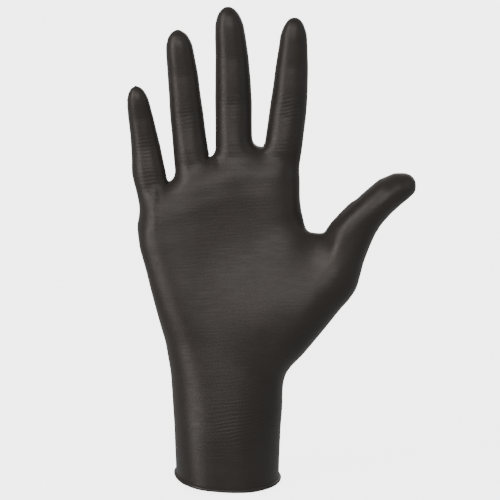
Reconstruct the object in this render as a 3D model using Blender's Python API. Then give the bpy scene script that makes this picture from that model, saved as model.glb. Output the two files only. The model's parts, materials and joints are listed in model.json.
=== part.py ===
"""A disposable nitrile glove in the shape it has on a right hand.

The film is a hollow shell with an open cuff. It is divided at the wearer's joints into zones that
keep their shape, and the folds between them, which crumple or stretch as a joint bends. Z runs up
the forearm to the middle fingertip, the palm faces -Y and the thumb is at +X. The origin is the
centre of the cuff's opening. Lengths below are in millimetres.
"""

import math

import bmesh
import bpy
from mathutils import Matrix, Vector

MM = 0.001
FILM = 0.6
SET_BACK = 0.15  # from each face of a cut to the true cutting plane
BEAD_RADIUS = 1.0
BEAD_GAP = 0.3
RIM_RISE_TO_BACK = 0.12
RIM_RISE_TO_THUMB = -0.05
RIM_OVERCUT = 4.0  # how far below the rim the hollow starts, as a multiple of the film
REACH = 60.0  # how far a cutter reaches past its hinge, where nothing below says otherwise
WRIST_REACH = 80.0
HAND_REACH = (200.0, 120.0)  # from the wrist past the fingertips, and to each side
KNUCKLE_REACH = 24.0
THUMB_KNUCKLE_REACH = (18.0, 15.0)
SECTOR_STEP = 5.0  # degrees between the corners of a cutter's arc

FINGER_SIDES = 16
HAND_SIDES = 32
FINGER_SQUARENESS = 2.15
THUMB_SQUARENESS = 2.1
FINGER_DEPTH = 0.9  # of its width
TIP_TURNS = (25.0, 48.0, 68.0, 84.0)  # degrees round the finger's tip, where its rings are
KNUCKLE_MARGIN = 0.9  # from a finger's side to the palm beside its folds
JOINT_SPAN = 4.0  # each side of a joint, over which the finger's direction is taken
FINGER_BOW = 7.0  # how far a straight finger's tip comes forward
HINGE_TO_PALM = 0.27  # of the half depth, from the middle of a finger to its crease

KNUCKLE_RANGE = (-15.0, 72.0)
MIDDLE_RANGE = (0.0, 82.0)
TIP_RATIO = 0.6  # a fingertip bends this much of its middle joint
TIP_RANGE = (0.0, MIDDLE_RANGE[1] * TIP_RATIO)
WRIST_RANGE = (-45.0, 50.0)
THUMB_BASE_RANGE = (-38.0, 10.0)
THUMB_KNUCKLE_RANGE = (-40.0, 10.0)
THUMB_TIP_RANGE = (-60.0, 15.0)

WRIST_Z = 50.0
WEB_TOP = (15.0, 169.0)  # x and z of the highest point of the line through the finger webs
WEB_FALL = 0.009  # that line's fall, per square millimetre away from its highest point

# The hand's trunk from rim to webs: middle z, left x, right x, half depth, squareness, and how much
# of the web line's arch the ring follows.
TRUNK = (
    (2.3, -25.5, 25.5, 21.0, 2.1, 0.0),
    (28.0, -26.0, 26.0, 20.5, 2.1, 0.0),
    (44.0, -27.0, 27.0, 19.5, 2.1, 0.0),
    (56.0, -27.8, 28.5, 18.5, 2.2, 0.0),
    (72.0, -30.0, 32.0, 16.5, 2.3, 0.0),
    (90.0, -34.6, 35.5, 15.0, 2.5, 0.0),
    (110.0, -39.2, 38.0, 14.0, 2.7, 0.1),
    (128.0, -43.0, 38.5, 13.5, 2.9, 0.3),
    (146.0, -44.4, 36.6, 12.6, 3.0, 0.6),
    (158.0, -46.0, 36.4, 10.8, 3.0, 0.85),
    (164.5, -45.0, 35.6, 8.0, 2.8, 1.0),
    (167.0, -43.0, 34.0, 5.0, 2.6, 1.0),
)

# Each finger: knuckle, middle joint, tip joint and tip heights, then z, middle x and half width at
# the stations of its outline, then the tip's x. The last station is where the round tip starts.
FINGERS = {
    "index": (
        (170.5, 191.0, 211.0, 234.8),
        (
            (150.0, 25.6, 9.3),
            (172.0, 28.4, 9.45),
            (184.0, 30.0, 9.35),
            (198.0, 31.5, 8.8),
            (210.0, 32.3, 8.05),
            (220.0, 32.9, 7.1),
        ),
        33.5,
    ),
    "middle": (
        (170.5, 193.0, 215.0, 240.0),
        (
            (150.0, 4.0, 9.2),
            (172.0, 3.5, 9.15),
            (190.0, 3.4, 9.1),
            (204.0, 3.1, 8.8),
            (216.0, 2.6, 8.1),
            (226.0, 1.8, 7.5),
        ),
        0.7,
    ),
    "ring": (
        (166.5, 187.0, 206.5, 228.6),
        (
            (148.0, -16.4, 8.7),
            (168.0, -17.9, 8.7),
            (180.0, -19.3, 8.4),
            (192.0, -20.5, 8.0),
            (206.0, -21.7, 7.5),
            (217.0, -23.0, 6.9),
        ),
        -24.0,
    ),
    "little": (
        (155.5, 171.0, 185.0, 201.0),
        (
            (138.0, -35.2, 6.8),
            (156.0, -38.2, 7.9),
            (167.0, -39.9, 7.3),
            (176.0, -41.3, 6.7),
            (183.0, -42.4, 6.3),
            (189.0, -43.4, 5.8),
        ),
        -44.8,
    ),
}
ROOT_STATIONS = 3  # of a finger's stations, those that the hand's shell is joined to

# The thumb from the wrist to its tip: middle x, y and z, lean towards +X in degrees, half width in
# the plane of the palm, and half depth.
THUMB = (
    (13.0, -3.0, 54.0, 36.0, 11.0, 11.5),
    (27.0, -6.0, 73.0, 39.0, 13.2, 13.5),
    (38.5, -9.0, 88.0, 39.0, 13.4, 13.5),
    (49.0, -11.5, 101.0, 32.0, 12.9, 12.4),
    (56.2, -13.0, 112.0, 20.0, 10.8, 11.0),
    (59.4, -13.8, 120.5, 20.0, 10.2, 10.6),
    (61.8, -14.4, 127.0, 25.0, 10.0, 10.4),
    (65.4, -15.2, 133.4, 36.0, 9.6, 10.4),
    (70.0, -16.0, 138.9, 43.0, 9.2, 10.7),
    (75.6, -16.7, 144.4, 46.0, 9.1, 10.6),
    (80.4, -17.2, 148.6, 52.0, 8.9, 10.0),
    (86.2, -17.6, 152.0, 57.0, 7.5, 7.9),
    (90.0, -17.8, 153.9, 60.0, 4.7, 5.0),
    (91.6, -17.9, 154.8, 61.0, 2.0, 2.2),
)
THUMB_ROOT_RINGS = 7  # of these, those that the hand's shell is joined to
THUMB_KNUCKLE_RING = 5  # the ring that each joint is at
THUMB_TIP_RING = 7
# The film between thumb and palm, in the same terms.
THUMB_WEB = (
    (36.0, -4.0, 88.0, 8.0, 11.0, 9.0),
    (41.0, -5.5, 108.0, 6.0, 11.0, 7.5),
    (44.0, -7.0, 121.0, 4.0, 9.5, 4.5),
    (45.0, -7.5, 126.5, 3.0, 8.0, 2.2),
)
# The line that the whole thumb swings about, and how far its cuts go each way from the middle.
THUMB_BASE_LINE = (Vector((31.0, -9.0, 62.0)), Vector((38.0, -9.0, 135.0)))
THUMB_BASE_REACH = 32.0
THUMB_FORWARD = 24.0  # how far the thumb's bending plane is turned forward of the palm's plane

ACROSS = Vector((1, 0, 0))  # the palm's directions
THROUGH = Vector((0, 1, 0))
UP = Vector((0, 0, 1))
BLACK_NITRILE = (0.042, 0.037, 0.035, 1.0)


class Hinge:
    """A joint's axis, the way its moving side points, and its range in degrees."""

    def __init__(self, name, point, axis, along, bends):
        self.name = name
        self.point = Vector(point)
        self.axis = Vector(axis).normalized()
        self.along = (along - along.dot(self.axis) * self.axis).normalized()
        self.low, self.high = bends

    def direction(self, degrees):
        """Where `along` points after a turn about the axis."""
        return Matrix.Rotation(math.radians(degrees), 3, self.axis) @ self.along

    def moving_side(self):
        return (-90.0 - self.low / 2, 90.0 - self.high / 2)

    def still_side(self):
        return (90.0 + self.high / 2, 270.0 + self.low / 2)

    def lost_side(self):
        """All that the still side gives up: the moving side and both folds."""
        start, stop = self.still_side()
        return (stop - 360.0, start)

    def high_fold(self):
        return (90.0 - self.high / 2, 90.0 + self.high / 2)

    def low_fold(self):
        return (-90.0 + self.low / 2, -90.0 - self.low / 2)


# Shapes


def collection(name, hidden=False):
    made = bpy.data.collections.new(name)
    made.hide_render = hidden
    bpy.context.scene.collection.children.link(made)
    return made


def new_object(name, mesh, home):
    made = bpy.data.objects.new(name, mesh)
    home.objects.link(made)
    return made


def helper(name, mesh, helpers):
    made = new_object(name, mesh, helpers)
    made.hide_render = True
    made.display_type = "WIRE"
    return made


def loft(name, rings, helpers):
    """A closed solid through rings of points, which all have the same number of points."""
    shape = bmesh.new()
    loops = [[shape.verts.new(point * MM) for point in ring] for ring in rings]
    for low, high in zip(loops, loops[1:]):
        for k in range(len(low)):
            shape.faces.new((low[k - 1], low[k], high[k], high[k - 1]))
    shape.faces.new(loops[0])
    shape.faces.new(loops[-1])
    bmesh.ops.triangulate(shape, faces=shape.faces)
    bmesh.ops.recalc_face_normals(shape, faces=shape.faces)
    mesh = bpy.data.meshes.new(name)
    shape.to_mesh(mesh)
    shape.free()
    return helper(name, mesh, helpers)


def squared(value, squareness):
    return math.copysign(abs(value) ** (2 / squareness), value)


def oval(middle, across, through, half_width, half_depth, squareness, sides):
    """Points round an oval that is squarer than an ellipse as squareness passes 2."""
    points = []
    for k in range(sides):
        turn = 2 * math.pi * k / sides
        wide = half_width * squared(math.cos(turn), squareness)
        deep = half_depth * squared(math.sin(turn), squareness)
        points.append(middle + across * wide + through * deep)
    return points


def sector(name, hinge, angles, helpers, reach=REACH, half_length=REACH, set_back=SET_BACK):
    """A fan-shaped prism about a hinge between two angles, set back from both planes."""
    start, stop = angles
    shift = set_back / math.sin(math.radians(stop - start) / 2)
    apex = hinge.point + hinge.direction((start + stop) / 2) * shift
    steps = max(2, math.ceil((stop - start) / SECTOR_STEP))
    outline = [apex]
    for k in range(steps + 1):
        angle = start + (stop - start) * k / steps
        outline.append(apex + hinge.direction(angle) * (reach - shift))
    ends = [[point + hinge.axis * side * half_length for point in outline] for side in (-1, 1)]
    return loft(name, ends, helpers)


def baked(obj):
    """The object with its modifiers applied and only its largest body kept."""
    graph = bpy.context.evaluated_depsgraph_get()
    mesh = bpy.data.meshes.new_from_object(obj.evaluated_get(graph))
    obj.modifiers.clear()
    obj.data = mesh
    shape = bmesh.new()
    shape.from_mesh(mesh)
    bmesh.ops.remove_doubles(shape, verts=shape.verts, dist=1e-6)
    left = set(shape.verts)
    bodies = []
    while left:
        body = {left.pop()}
        edge = list(body)
        while edge:
            near = {e.other_vert(v) for v in edge for e in v.link_edges} - body
            body |= near
            edge = list(near)
        left -= body
        bodies.append(body)
    for body in sorted(bodies, key=len)[:-1]:
        bmesh.ops.delete(shape, geom=list(body), context="VERTS")
    shape.to_mesh(mesh)
    shape.free()
    return obj


def boolean(obj, operation, others):
    """Joins, cuts or trims the object with each of the others in turn."""
    for other in others:
        modifier = obj.modifiers.new(other.name, "BOOLEAN")
        modifier.operation = operation
        modifier.solver = "EXACT"
        modifier.object = other
    return obj


def copy_of(name, obj, home):
    return new_object(name, obj.data.copy(), home)


# The hand's limbs


def web_line(x):
    return WEB_TOP[1] - WEB_FALL * (x - WEB_TOP[0]) ** 2


def rim_height(point):
    return RIM_RISE_TO_BACK * point.y + RIM_RISE_TO_THUMB * point.x


def trunk_rings(inset):
    """Rings from rim to webs. The inner skin's start lower than the rim, so that the cuff is open."""
    rings = []
    for z, left, right, half_depth, squareness, arch in TRUNK:
        middle = Vector(((left + right) / 2, 0, z))
        half_width = (right - left) / 2 - inset
        ring = oval(middle, ACROSS, THROUGH, half_width, half_depth - inset, squareness, HAND_SIDES)
        for point in ring:
            point.z += arch * (web_line(point.x) - web_line(0)) - inset * arch
        if z == TRUNK[0][0]:
            for point in ring:
                point.z += rim_height(point) - RIM_OVERCUT * inset
        rings.append(ring)
    return rings


def between(stations, z):
    """Middle x and half width at a height, from the stations around it."""
    for (z0, x0, w0), (z1, x1, w1) in zip(stations, stations[1:]):
        if z <= z1:
            share = (z - z0) / (z1 - z0)
            return x0 + (x1 - x0) * share, w0 + (w1 - w0) * share
    return stations[-1][1:]


def finger_middle(finger, z):
    heights, stations, tip_x = finger
    x, _ = between(stations, z)
    start = stations[-1][0]
    if z > start:
        x += (tip_x - x) * (z - start) / (heights[3] - start)
    out = max(0.0, (z - heights[0]) / (heights[3] - heights[0]))
    return Vector((x, -FINGER_BOW * out * out, z))


def finger_rings(finger, inset):
    heights, stations, _ = finger
    rounding = stations[-1][0]
    tip = heights[3] - inset
    outline = [(z, half_width - inset) for z, _, half_width in stations]
    last_width = outline[-1][1]
    for degrees in TIP_TURNS:
        turn = math.radians(degrees)
        height = rounding + (tip - rounding) * math.sin(turn)
        outline.append((height, last_width * math.cos(turn)))
    rings = []
    for z, half_width in outline:
        middle = finger_middle(finger, z)
        half_depth = half_width * FINGER_DEPTH
        rings.append(
            oval(middle, ACROSS, THROUGH, half_width, half_depth, FINGER_SQUARENESS, FINGER_SIDES)
        )
    return rings


def leaning_rings(stations, inset):
    rings = []
    last = len(stations) - 1
    for k, (x, y, z, lean, half_width, half_depth) in enumerate(stations):
        turn = math.radians(lean)
        across = Vector((math.cos(turn), 0, -math.sin(turn)))
        along = Vector((math.sin(turn), 0, math.cos(turn)))
        middle = Vector((x, y, z)) - along * (inset if k == last else 0)
        half_sizes = (half_width - inset, half_depth - inset)
        rings.append(oval(middle, across, THROUGH, *half_sizes, THUMB_SQUARENESS, FINGER_SIDES))
    return rings


# The joints


def finger_hinges(name, finger):
    """Knuckle, middle joint and tip joint of a finger, each at its crease."""
    heights, stations, _ = finger
    ranges = (KNUCKLE_RANGE, MIDDLE_RANGE, TIP_RANGE)
    hinges = []
    for joint, z, bends in zip(("knuckle", "middle", "tip"), heights, ranges):
        along = finger_middle(finger, z + JOINT_SPAN) - finger_middle(finger, z - JOINT_SPAN)
        axis = Vector((along.z, 0, -along.x))
        _, half_width = between(stations, z)
        point = finger_middle(finger, z) - THROUGH * half_width * FINGER_DEPTH * HINGE_TO_PALM
        hinges.append(Hinge(f"{name}_{joint}", point, axis, along, bends))
    return hinges


def thumb_hinge(name, ring, bends):
    """A bend of the thumb at one of its rings. A positive turn straightens it."""
    x, y, z, lean, half_width, _ = THUMB[ring]
    turn = math.radians(lean)
    outward = Vector((math.cos(turn), 0, -math.sin(turn)))
    along = Vector((math.sin(turn), 0, math.cos(turn)))
    forward = math.radians(THUMB_FORWARD)
    axis = THROUGH * math.cos(forward) - outward * math.sin(forward)
    point = Vector((x, y, z)) - outward * half_width * HINGE_TO_PALM
    return Hinge(name, point, axis, along, bends)


def thumb_base_hinge():
    """The swing of the whole thumb. A negative turn brings it forward, over the palm."""
    low, high = THUMB_BASE_LINE
    return Hinge("thumb_base", (low + high) / 2, high - low, ACROSS, THUMB_BASE_RANGE)


def thumb_knuckle_hinge():
    return thumb_hinge("thumb_knuckle", THUMB_KNUCKLE_RING, THUMB_KNUCKLE_RANGE)


# The nodes


def nitrile():
    made = bpy.data.materials.new("black_nitrile")
    made.use_nodes = True
    surface = made.node_tree.nodes["Principled BSDF"]
    surface.inputs["Base Color"].default_value = BLACK_NITRILE
    surface.inputs["Roughness"].default_value = 0.4
    surface.inputs["Metallic"].default_value = 0.0
    return made


def set_origin(obj, point):
    """Moves the object's origin to a point and leaves its shape where it is."""
    offset = point * MM
    obj.data.transform(Matrix.Translation(-offset))
    obj.location = offset


def finish(obj, origin, look):
    baked(obj)
    set_origin(obj, origin)
    obj.data.materials.clear()
    obj.data.materials.append(look.copy())
    obj.data.materials[0].name = f"{obj.name}_nitrile"
    obj.data.shade_smooth()
    obj.data.set_sharp_from_angle(angle=math.radians(40))
    return obj


def hollow(name, outer_rings, inner_rings, helpers):
    """A shell between two sets of lofts, each set joined into one."""
    skins = []
    for side, groups in (("outer", outer_rings), ("inner", inner_rings)):
        parts = [loft(f"{name}_{side}_{k}", rings, helpers) for k, rings in enumerate(groups)]
        skins.append(baked(boolean(parts[0], "UNION", parts[1:])))
    return baked(boolean(skins[0], "DIFFERENCE", skins[1:]))


def zone(name, shell, trims, cuts, origin, home, look):
    """The part of a shell inside every trim and outside every cut."""
    made = copy_of(name, shell, home)
    boolean(made, "INTERSECT", trims)
    boolean(made, "DIFFERENCE", cuts)
    return finish(made, origin, look)


def make_finger(name, finger, home, helpers, look):
    shell = hollow(name, [finger_rings(finger, 0.0)], [finger_rings(finger, FILM)], helpers)
    knuckle, middle, tip = finger_hinges(name, finger)
    still = {}
    moving = {}
    for hinge in (knuckle, middle, tip):
        still[hinge] = sector(f"{hinge.name}_still", hinge, hinge.still_side(), helpers)
        moving[hinge] = sector(f"{hinge.name}_moving", hinge, hinge.moving_side(), helpers)
    stalls = (
        ("root", knuckle, [moving[knuckle], still[middle]]),
        ("middle", middle, [moving[middle], still[tip]]),
        ("tip", tip, [moving[tip]]),
    )
    for part, hinge, trims in stalls:
        zone(f"{name}_{part}_stall", shell, trims, [], hinge.point, home, look)
    for hinge in (middle, tip):
        fold = sector(f"{hinge.name}_fold_cutter", hinge, hinge.high_fold(), helpers)
        zone(f"{hinge.name}_crease", shell, [fold], [], hinge.point, home, look)


def make_knuckle_folds(name, finger, shell, home, helpers, look):
    """The two folds of film at a finger's root. Returns what the palm loses to them."""
    hinge = finger_hinges(name, finger)[0]
    half_length = between(finger[1], hinge.point.z)[1] + KNUCKLE_MARGIN
    fold_length = half_length - 2 * SET_BACK
    for side, angles in (("crease", hinge.high_fold()), ("back", hinge.low_fold())):
        fold = sector(f"{hinge.name}_{side}_cutter", hinge, angles, helpers, KNUCKLE_REACH, fold_length)
        zone(f"{hinge.name}_{side}", shell, [fold], [], hinge.point, home, look)
    lost = f"{hinge.name}_lost"
    return sector(lost, hinge, hinge.lost_side(), helpers, KNUCKLE_REACH, half_length, -SET_BACK)


def make_cuff(shell, wrist, home, helpers, look):
    """The sleeve, and the folds at the wrist."""
    still = sector("wrist_still", wrist, wrist.still_side(), helpers, WRIST_REACH)
    zone("cuff_sleeve", shell, [still], [], Vector(), home, look)
    for side, angles in (("palm", wrist.high_fold()), ("back", wrist.low_fold())):
        fold = sector(f"wrist_{side}_cutter", wrist, angles, helpers, WRIST_REACH)
        zone(f"wrist_{side}_fold", shell, [fold], [], wrist.point, home, look)


def make_palm(shell, wrist, home, helpers, look):
    """The palm, the base of the thumb and the folds between them."""
    base = thumb_base_hinge()
    knuckle = thumb_knuckle_hinge()
    beyond_wrist = sector("wrist_moving", wrist, wrist.moving_side(), helpers, *HAND_REACH)
    base_lost = sector(
        "thumb_base_lost", base, base.lost_side(), helpers, REACH, THUMB_BASE_REACH, -SET_BACK
    )
    thumb_lost = sector(
        "thumb_lost", knuckle, knuckle.lost_side(), helpers, *THUMB_KNUCKLE_REACH, -SET_BACK
    )
    finger_cuts = [
        make_knuckle_folds(name, finger, shell, home, helpers, look)
        for name, finger in FINGERS.items()
    ]
    cuts = [base_lost, thumb_lost, *finger_cuts]
    zone("palm_shell", shell, [beyond_wrist], cuts, wrist.point, home, look)

    gap = 2 * SET_BACK
    trims = {}
    for part, angles, cuts in (
        ("shell", base.moving_side(), [thumb_lost]),
        ("crease", base.low_fold(), []),
        ("back", base.high_fold(), []),
    ):
        trim = f"thumb_base_{part}_cutter"
        trims[part] = sector(trim, base, angles, helpers, REACH, THUMB_BASE_REACH - gap)
        zone(f"thumb_base_{part}", shell, [trims[part], beyond_wrist], cuts, base.point, home, look)

    # The web beyond the thumb's knuckle crumples as the thumb bends.
    sizes = [size - gap for size in THUMB_KNUCKLE_REACH]
    web = sector("thumb_web_cutter", knuckle, knuckle.lost_side(), helpers, *sizes)
    limb = loft("thumb_clearance", leaning_rings(THUMB, -gap), helpers)
    zone("thumb_web_fold", shell, [web, trims["shell"]], [limb], knuckle.point, home, look)


def make_hand(home, helpers, look):
    """The cuff, the palm, the base of the thumb and the folds between them, all from one shell."""
    skins = []
    for inset in (0.0, FILM):
        roots = [finger_rings(finger, inset)[:ROOT_STATIONS] for finger in FINGERS.values()]
        thumb = leaning_rings(THUMB[:THUMB_ROOT_RINGS], inset)
        skins.append([trunk_rings(inset), *roots, thumb, leaning_rings(THUMB_WEB, inset)])
    shell = hollow("hand", skins[0], skins[1], helpers)
    wrist = Hinge("wrist", UP * WRIST_Z, ACROSS, UP, WRIST_RANGE)
    make_cuff(shell, wrist, home, helpers, look)
    make_palm(shell, wrist, home, helpers, look)


def make_thumb(home, helpers, look):
    outer, inner = leaning_rings(THUMB, 0.0), leaning_rings(THUMB, FILM)
    shell = hollow("thumb", [outer], [inner], helpers)
    knuckle = thumb_knuckle_hinge()
    tip = thumb_hinge("thumb_tip", THUMB_TIP_RING, THUMB_TIP_RANGE)
    knuckle_moving = sector("thumb_knuckle_moving", knuckle, knuckle.moving_side(), helpers)
    tip_still = sector("thumb_tip_still", tip, tip.still_side(), helpers)
    tip_moving = sector("thumb_tip_moving", tip, tip.moving_side(), helpers)
    root_trims = [knuckle_moving, tip_still]
    zone("thumb_root_stall", shell, root_trims, [], knuckle.point, home, look)
    zone("thumb_tip_stall", shell, [tip_moving], [], tip.point, home, look)
    for hinge in (knuckle, tip):
        for side, angles in (("back", hinge.high_fold()), ("crease", hinge.low_fold())):
            fold = sector(f"{hinge.name}_{side}_cutter", hinge, angles, helpers)
            zone(f"{hinge.name}_{side}", shell, [fold], [], hinge.point, home, look)


def make_bead(home, look):
    """The rolled edge, a closed wire just under the sleeve's rim."""
    rim_z, left, right, half_depth, squareness, _ = TRUNK[0]
    middle = ACROSS * (left + right) / 2
    half_width = (right - left) / 2
    ring = oval(middle, ACROSS, THROUGH, half_width, half_depth, squareness, 2 * HAND_SIDES)
    curve = bpy.data.curves.new("cuff_bead", "CURVE")
    curve.dimensions = "3D"
    curve.bevel_depth = BEAD_RADIUS * MM
    curve.bevel_resolution = 2
    spline = curve.splines.new("POLY")
    spline.points.add(len(ring) - 1)
    for control, point in zip(spline.points, ring):
        lift = rim_z - BEAD_GAP - BEAD_RADIUS + rim_height(point)
        control.co = (*(point + UP * lift) * MM, 1.0)
    spline.use_cyclic_u = True
    curve.materials.append(look.copy())
    new_object("cuff_bead", curve, home)


def main():
    for obj in list(bpy.data.objects):
        bpy.data.objects.remove(obj, do_unlink=True)
    home = collection("disposable_glove")
    helpers = collection("cutters", hidden=True)
    look = nitrile()
    make_hand(home, helpers, look)
    make_thumb(home, helpers, look)
    for name, finger in FINGERS.items():
        make_finger(name, finger, home, helpers, look)
    make_bead(home, look)


main()
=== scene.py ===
import itertools
import json
import math

import bmesh
import bpy
import numpy as np
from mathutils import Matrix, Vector
from mathutils.bvhtree import BVHTree

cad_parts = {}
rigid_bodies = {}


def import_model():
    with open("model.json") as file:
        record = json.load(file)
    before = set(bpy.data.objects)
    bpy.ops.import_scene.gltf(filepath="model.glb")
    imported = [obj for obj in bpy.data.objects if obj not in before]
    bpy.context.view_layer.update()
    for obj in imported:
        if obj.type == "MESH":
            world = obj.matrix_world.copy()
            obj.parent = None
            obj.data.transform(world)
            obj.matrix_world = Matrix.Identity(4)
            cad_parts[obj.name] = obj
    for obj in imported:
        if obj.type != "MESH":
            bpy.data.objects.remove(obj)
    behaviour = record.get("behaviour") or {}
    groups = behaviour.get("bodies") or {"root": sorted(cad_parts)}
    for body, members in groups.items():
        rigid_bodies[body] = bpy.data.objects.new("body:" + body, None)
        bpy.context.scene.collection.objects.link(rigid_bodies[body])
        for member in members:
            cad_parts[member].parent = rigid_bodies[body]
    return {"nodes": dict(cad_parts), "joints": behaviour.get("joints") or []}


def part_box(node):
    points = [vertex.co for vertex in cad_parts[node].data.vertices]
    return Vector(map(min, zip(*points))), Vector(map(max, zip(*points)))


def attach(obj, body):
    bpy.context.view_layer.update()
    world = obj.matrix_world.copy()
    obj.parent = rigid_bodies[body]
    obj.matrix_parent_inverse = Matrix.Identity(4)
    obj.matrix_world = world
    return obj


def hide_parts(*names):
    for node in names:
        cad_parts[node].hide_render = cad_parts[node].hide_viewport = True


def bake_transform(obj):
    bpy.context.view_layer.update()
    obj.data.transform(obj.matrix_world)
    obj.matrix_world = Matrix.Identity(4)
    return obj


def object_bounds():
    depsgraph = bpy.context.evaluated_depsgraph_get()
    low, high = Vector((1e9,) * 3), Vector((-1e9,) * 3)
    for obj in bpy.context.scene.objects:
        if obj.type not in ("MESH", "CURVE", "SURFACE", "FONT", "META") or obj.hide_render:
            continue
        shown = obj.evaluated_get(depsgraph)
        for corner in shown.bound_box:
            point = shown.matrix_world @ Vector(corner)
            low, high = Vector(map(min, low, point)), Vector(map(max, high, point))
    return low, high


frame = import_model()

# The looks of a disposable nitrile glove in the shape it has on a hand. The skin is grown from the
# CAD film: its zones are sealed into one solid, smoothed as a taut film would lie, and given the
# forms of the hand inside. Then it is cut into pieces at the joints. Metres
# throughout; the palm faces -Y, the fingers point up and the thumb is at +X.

MM = 0.001
CAD_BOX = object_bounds()
NODES = frame["nodes"]
JOINTS = {joint["name"]: joint for joint in frame["joints"]}
FINGERS = ("index", "middle", "ring", "little")


def mm(*sizes):
    """Sizes given in millimetres, as an array in metres."""
    return np.array(sizes) * MM


# Finding the skin on a grid
CELL = 1.1 * MM  # of the grid
BAND = 3.0 * MM  # from the film, where distances are measured
WALL = 1.35 * MM  # closer to the film than this counts as film while the outside is found
AHEAD = mm(1.5, 1.9, 2.4, 3.0)  # in front of a face, where the outside is looked for
CLEAR_AHEAD = 1.4 * MM  # in front of a face that is on the outside
GAP_SKIPPED = 0.02 * MM  # by the ray that looks ahead of a face
LID_HEIGHT = 6.0 * MM  # the cuff is sealed off at this height above its lowest edge
WEB_RADIUS = 7.6 * MM  # of the round edge between palm and thumb
WEB_EDGE = 2.4 * MM  # half the thickness of the web at that edge
WEB_SPAN = 2.2  # radii over which the web goes from the palm's depth to the thumb's
WEB_LEAN = 0.55  # its share of that at the round edge's middle
WEB_WIDENING = 0.35  # how fast it thickens away from that edge
WEB_REACH = 2.4  # how far the web film goes from the round edge's centre, in radii
WEB_MERGE = 4.0 * MM
WEB_TURN = math.radians(50)  # where the round edge becomes the thumb's straight one
VALLEY = 7  # cells: half the width of the valleys between thumb and palm that are filled
VALLEY_LEFT = 12 * MM  # the valleys lie beyond this from the glove's middle plane
VALLEY_RIGHT = 4 * MM  # and not further than this beyond the thumb's knuckle
VALLEY_LOW = 8 * MM  # above the wrist's hinge
VALLEY_HIGH = 3 * MM  # below the web's upper edge
VALLEY_SINK = 0.7  # cells: how far the filling stays below the surfaces beside it
VALLEY_OVERLAP = 3  # cells: how far it goes into the solid under it

# Smoothing the skin, in rounds
FIRST_ROUNDS = 8
STRETCH_ROUNDS = 130
POCKET_ROUNDS = 260  # at the valley beside the thumb's base
PALM_ROUNDS = 1300
SMOOTHING_ROUNDS = 80
TAUT_ROUNDS = 60
PULL = 0.5  # share of the way to the neighbours' middle in one step
PUSH = 0.53  # and back again, so that nothing shrinks
TAUT_PUSH = 0.508
STRETCH_PULL = 0.8
NORMALS_EVERY = 4  # rounds of stretching
HELD = 0.9  # how much fingers and thumb are held back while the rest goes taut
EDGE_ROUNDS = 300  # below the little finger
WRIST_ROUNDS = 200  # where the wrist meets the thumb's base
ROOT_ROUNDS = 120  # at the fingers' roots, on the palm side
LAST_ROUNDS = 2

# Lengths before and after each joint's hinge, which set where the pieces begin and end
WRIST_SPREAD = (17.0 * MM, 10.0 * MM)
BASE_SPREAD = (-0.5 * MM, 8.5 * MM)
THUMB_SPREAD = (-1.0 * MM, 8.5 * MM)
THUMB_TIP_SPREAD = (3.0 * MM, 7.0 * MM)
KNUCKLE_LENGTH = 0.62  # of the finger's width
MIDDLE_LENGTH = 0.38
TIP_LENGTH = 0.28
THUMB_CLEAR = 4 * MM  # past its base hinge, where the thumb's own pieces begin
FINGER_START = 4 * MM  # a finger's pieces begin this far below its crease

# The forms of the hand under the film
FINGER_SIDE = (13 * MM, 2 * MM)  # half the width of a finger's own place, and its soft edge
FINGER_FOOT = (14 * MM, 12 * MM)  # how far that goes below the knuckle, and its soft edge
THROUGH = 60  # mm: a hill's half size through the hand, where both faces have it
WIDEST = 19 * MM  # of a finger, for its forms
PADS = mm(0.3, 0.3, 0.5)  # on a finger's three lengths
CREASES = mm(0.1, 0.16, 0.12)  # at its knuckle, middle and tip joints
CREASE_REACH = 2.2 * MM
BONES = mm(0.0, 0.45, 0.2)  # at the back and sides of the same joints
ROOT_RISE = 1.7 * MM
NAIL_DEPTH = 0.45 * MM
NAIL_FOLD = 0.25 * MM
THENAR = 3.2 * MM  # the ball of the thumb
HEEL = 2.4 * MM  # the opposite side of the palm
HOLLOW = 2.6 * MM  # the palm's middle
MOUNT = 1.1 * MM  # the palm below each finger
HEAD = 1.3 * MM  # the back's knuckles
TENDON = 0.8 * MM
PALM_EDGE = 1.6 * MM  # the palm's outer edge
CUFF_EDGE = 0.9 * MM
LITTLE_EDGE = 2.7 * MM  # the little finger's root
WRIST_EDGE = 1.3 * MM  # the wrist on the thumb's side
THUMB_BALL = (-0.4 * MM, -1.5 * MM)  # on the thumb's inner and outer side
THUMB_NECK = (1.6 * MM, 0.8 * MM)
THUMB_NAIL = (0.7 * MM, 0.3 * MM)  # the nail's edge, and the bed below it
THUMB_END = 1.2 * MM
THUMB_CORNER = 1.8 * MM  # the outer corner of its base
CUFF_WAVES = ((3, 0.35 * MM), (5, 0.22 * MM))  # waves around the sleeve, and their heights
CUFF_SWELL = 0.45 * MM

# Lines in the film, as shares of the full strength
PLAIN_FILM = 0.06
FINGER_LINES = {"little": 0.5, "ring": 0.4, "middle": 0.4, "index": 0.45}
KNUCKLE_SHARE = 0.55
TIP_SHARE = 0.3
CUFF_LINES = 0.5
WRIST_LINES = 0.12

# The film and the bead
FILM = 0.35 * MM
BEAD_RADIUS = 0.95 * MM
BEAD_OUT = 0.15 * MM  # how far its coil's centre is outside the film's edge
BEAD_DOWN = 0.2 * MM
BEAD_TURN = (-200, 125, 15)  # degrees: the arc of the coil, and its steps
BEAD_SIDES = 288
BEAD_WAVES = 14  # of the film's edge that the bead follows, around the rim
RIM_RISE = 0.9 * MM  # of the film's lower edge above the CAD bead's middle

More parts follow.
